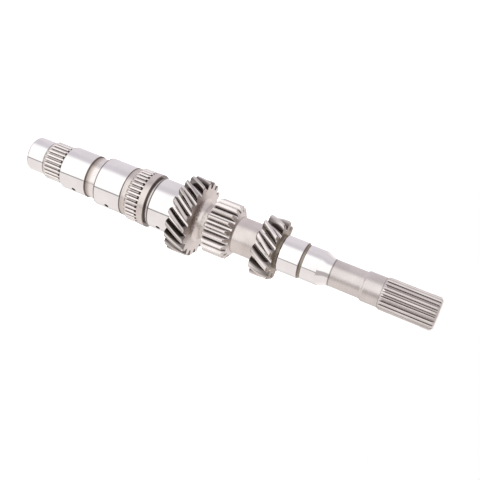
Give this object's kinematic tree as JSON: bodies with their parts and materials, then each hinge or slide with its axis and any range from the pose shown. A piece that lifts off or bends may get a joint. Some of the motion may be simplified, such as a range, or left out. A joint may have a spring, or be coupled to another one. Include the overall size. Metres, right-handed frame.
{
  "type": "transmission input shaft",
  "caption": "Manual gearbox input shaft forged in one piece, with helical and straight gears, ground journals, fine hub splines, oil holes and a long clutch spline.",
  "frame": {"origin": "centre of the rear end face, on the shaft's axis", "axes": "+Z along the shaft's axis, from the rear end up to the clutch end"},
  "size_m": [0.061, 0.061, 0.3444],
  "materials": {
    "gear_steel": "satin"
  },
  "bodies": {
    "root": {"input_shaft": "gear_steel"}
  },
  "joints": []
}
